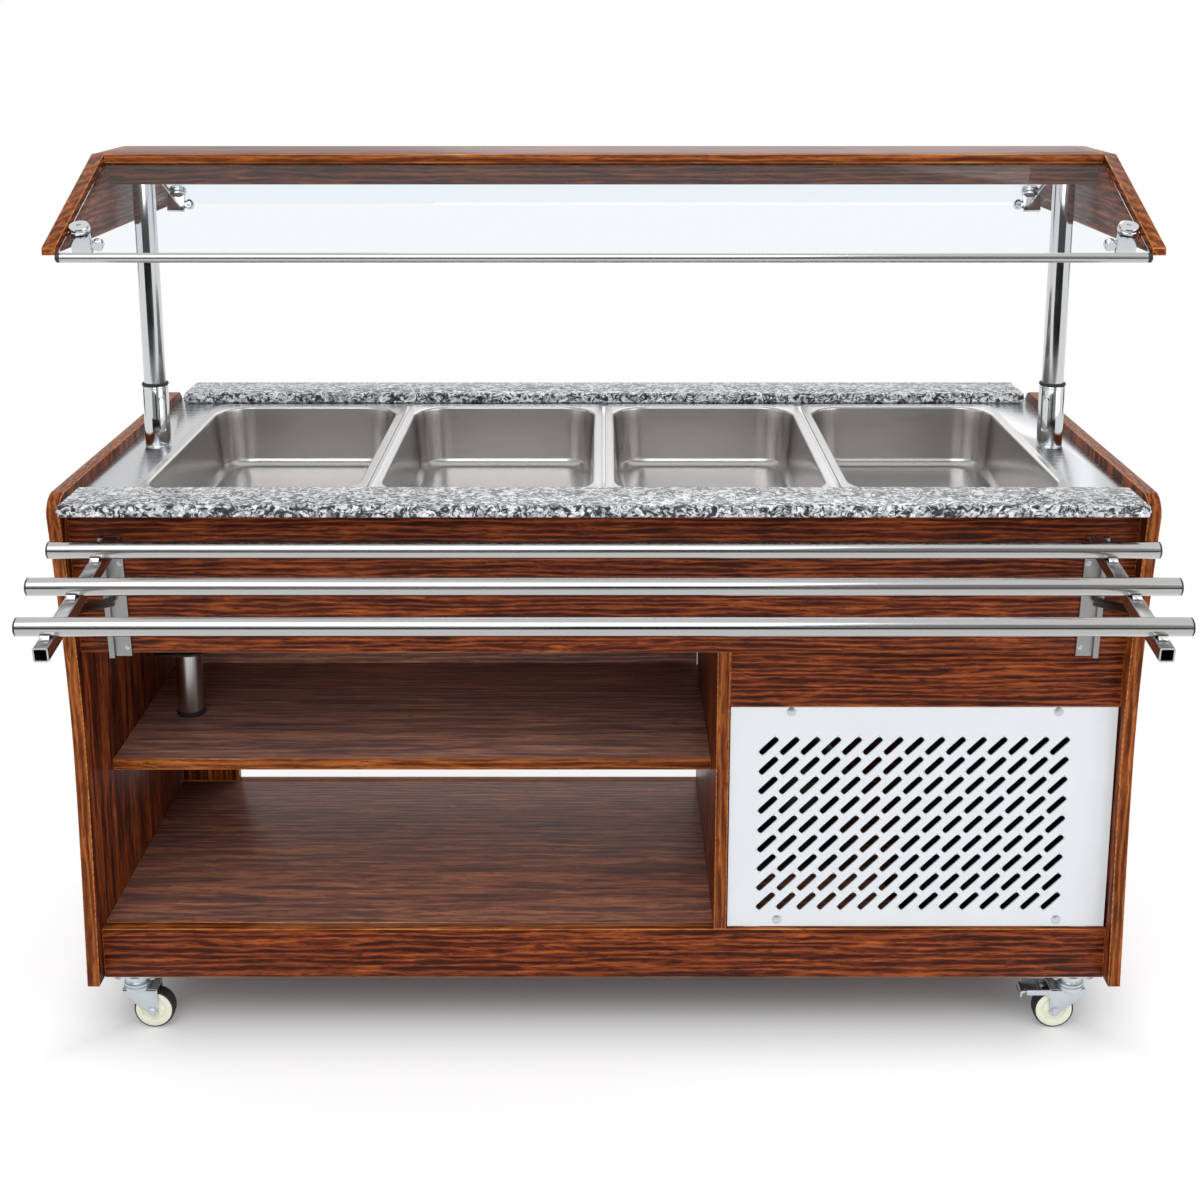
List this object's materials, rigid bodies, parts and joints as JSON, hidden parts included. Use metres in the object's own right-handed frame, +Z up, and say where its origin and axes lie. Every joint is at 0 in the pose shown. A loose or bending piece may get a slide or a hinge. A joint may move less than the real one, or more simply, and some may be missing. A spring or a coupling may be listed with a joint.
{
  "type": "mobile salad bar",
  "caption": "Wooden serving cart with a cold well of lift-out pans, stone ledges, a glazed canopy on telescopic posts, a folding tray slide and swivel casters.",
  "frame": {"origin": "on the floor, under the middle of the outline's bounding box", "axes": "+X to the right along the serving side, +Y away from the tray slide towards the back, +Z up"},
  "size_m": [1.5, 0.972, 1.286],
  "materials": {
    "wood": "red-brown walnut laminate with orange-brown edge banding",
    "granite": "polished white granite with black and grey veins",
    "stainless": "brushed stainless steel",
    "polished_steel": "polished stainless steel",
    "zinc": "zinc-plated pressed steel",
    "dark_steel": "dark bronze flat steel",
    "white_paint": "white powder coat",
    "black_paint": "black enamel",
    "black_plastic": "moulded black plastic",
    "tyre_rubber": "black rubber tyre on a cream nylon hub",
    "diffuser": "opal acrylic",
    "glass": "clear float glass"
  },
  "bodies": {
    "cabinet": {"side_panel_left": "wood", "side_panel_right": "wood", "base_deck": "wood", "front_base_board": "wood", "rear_base_board": "wood", "divider_panel": "wood", "mid_shelf": "wood", "upper_back_panel": "wood", "rear_corner_stile": "wood", "front_apron": "wood", "rear_apron": "wood", "compressor_grille": "white_paint", "grille_rail": "wood", "rear_vent_panel": "wood", "cable_gland": "black_plastic", "compressor": "black_paint", "condenser": "black_paint", "steel_worktop": "stainless", "granite_ledge_front": "granite", "granite_ledge_rear": "granite", "well_tank": "stainless", "post_sleeve_left": "polished_steel", "post_sleeve_right": "polished_steel", "support_leg": "polished_steel", "wall_plate_left": "zinc", "wall_plate_right": "zinc"},
    "canopy": {"canopy_top_board": "wood", "light_housing": "wood", "lamp_diffuser": "diffuser", "canopy_end_left": "wood", "canopy_end_right": "wood", "glass_front": "glass", "glass_rear": "glass", "glass_rail_front": "stainless", "canopy_post_left": "polished_steel", "canopy_post_right": "polished_steel"},
    "tray_slide": {"tray_tube_rear": "stainless", "tray_tube_middle": "stainless", "tray_tube_front": "stainless", "tray_arm_left": "stainless", "tray_arm_right": "stainless"},
    "strut_left": {"tray_strut_left": "dark_steel"},
    "strut_right": {"tray_strut_right": "dark_steel"},
    "pan_1": {"food_pan_1": "stainless"},
    "pan_2": {"food_pan_2": "stainless"},
    "pan_3": {"food_pan_3": "stainless"},
    "pan_4": {"food_pan_4": "stainless"},
    "fan": {"condenser_fan": "black_plastic"},
    "caster_front_left": {"caster_fork_front_left": "zinc"},
    "wheel_front_left": {"caster_wheel_front_left": "tyre_rubber"},
    "caster_front_right": {"caster_fork_front_right": "zinc"},
    "wheel_front_right": {"caster_wheel_front_right": "tyre_rubber"},
    "pedal_front_right": {"brake_pedal_front_right": "zinc"},
    "caster_rear_left": {"caster_fork_rear_left": "zinc"},
    "wheel_rear_left": {"caster_wheel_rear_left": "tyre_rubber"},
    "caster_rear_right": {"caster_fork_rear_right": "zinc"},
    "wheel_rear_right": {"caster_wheel_rear_right": "tyre_rubber"},
    "pedal_rear_right": {"brake_pedal_rear_right": "zinc"}
  },
  "joints": [
    {"name": "canopy_lift", "type": "slide", "parent": "cabinet", "child": "canopy", "axis": [0, 0, 1], "range_m": [-0.31, 0]},
    {"name": "tray_fold", "type": "hinge", "parent": "cabinet", "child": "tray_slide", "pos_m": [0, -0.1989, 0.7755], "axis": [1, 0, 0], "range_deg": [0, 78]},
    {"name": "strut_left_swing", "type": "hinge", "parent": "cabinet", "child": "strut_left", "pos_m": [-0.6755, -0.18603, 0.69], "axis": [1, 0, 0], "range_deg": [0, 113]},
    {"name": "strut_right_swing", "type": "hinge", "parent": "cabinet", "child": "strut_right", "pos_m": [0.6755, -0.18603, 0.69], "axis": [1, 0, 0], "range_deg": [0, 113]},
    {"name": "pan_1_lift", "type": "slide", "parent": "cabinet", "child": "pan_1", "axis": [0, 0, 1], "range_m": [0, 0.2]},
    {"name": "pan_2_lift", "type": "slide", "parent": "cabinet", "child": "pan_2", "axis": [0, 0, 1], "range_m": [0, 0.2]},
    {"name": "pan_3_lift", "type": "slide", "parent": "cabinet", "child": "pan_3", "axis": [0, 0, 1], "range_m": [0, 0.2]},
    {"name": "pan_4_lift", "type": "slide", "parent": "cabinet", "child": "pan_4", "axis": [0, 0, 1], "range_m": [0, 0.2]},
    {"name": "fan_spin", "type": "hinge", "parent": "cabinet", "child": "fan", "pos_m": [0.565, -0.063, 0.3233], "axis": [0, 1, 0], "continuous": true},
    {"name": "swivel_front_left", "type": "hinge", "parent": "cabinet", "child": "caster_front_left", "pos_m": [-0.694, -0.126, 0.08], "axis": [0, 0, 1], "continuous": true},
    {"name": "wheel_front_left_roll", "type": "hinge", "parent": "caster_front_left", "child": "wheel_front_left", "pos_m": [-0.671, -0.126, 0.03], "axis": [0, 1, 0], "continuous": true},
    {"name": "swivel_front_right", "type": "hinge", "parent": "cabinet", "child": "caster_front_right", "pos_m": [0.694, -0.126, 0.08], "axis": [0, 0, 1], "continuous": true},
    {"name": "wheel_front_right_roll", "type": "hinge", "parent": "caster_front_right", "child": "wheel_front_right", "pos_m": [0.671, -0.126, 0.03], "axis": [0, 1, 0], "continuous": true},
    {"name": "brake_front_right_press", "type": "hinge", "parent": "caster_front_right", "child": "pedal_front_right", "pos_m": [0.65, -0.126, 0.061], "axis": [0, -1, 0], "range_deg": [0, 15]},
    {"name": "swivel_rear_left", "type": "hinge", "parent": "cabinet", "child": "caster_rear_left", "pos_m": [-0.694, 0.283, 0.08], "axis": [0, 0, 1], "continuous": true},
    {"name": "wheel_rear_left_roll", "type": "hinge", "parent": "caster_rear_left", "child": "wheel_rear_left", "pos_m": [-0.671, 0.283, 0.03], "axis": [0, 1, 0], "continuous": true},
    {"name": "swivel_rear_right", "type": "hinge", "parent": "cabinet", "child": "caster_rear_right", "pos_m": [0.694, 0.283, 0.08], "axis": [0, 0, 1], "continuous": true},
    {"name": "wheel_rear_right_roll", "type": "hinge", "parent": "caster_rear_right", "child": "wheel_rear_right", "pos_m": [0.671, 0.283, 0.03], "axis": [0, 1, 0], "continuous": true},
    {"name": "brake_rear_right_press", "type": "hinge", "parent": "caster_rear_right", "child": "pedal_rear_right", "pos_m": [0.65, 0.283, 0.061], "axis": [0, -1, 0], "range_deg": [0, 15]}
  ],
  "couplings": [
    {"joint": "strut_left_swing", "follows": "tray_fold", "ratio": 1.44},
    {"joint": "strut_right_swing", "follows": "tray_fold", "ratio": 1.44}
  ]
}
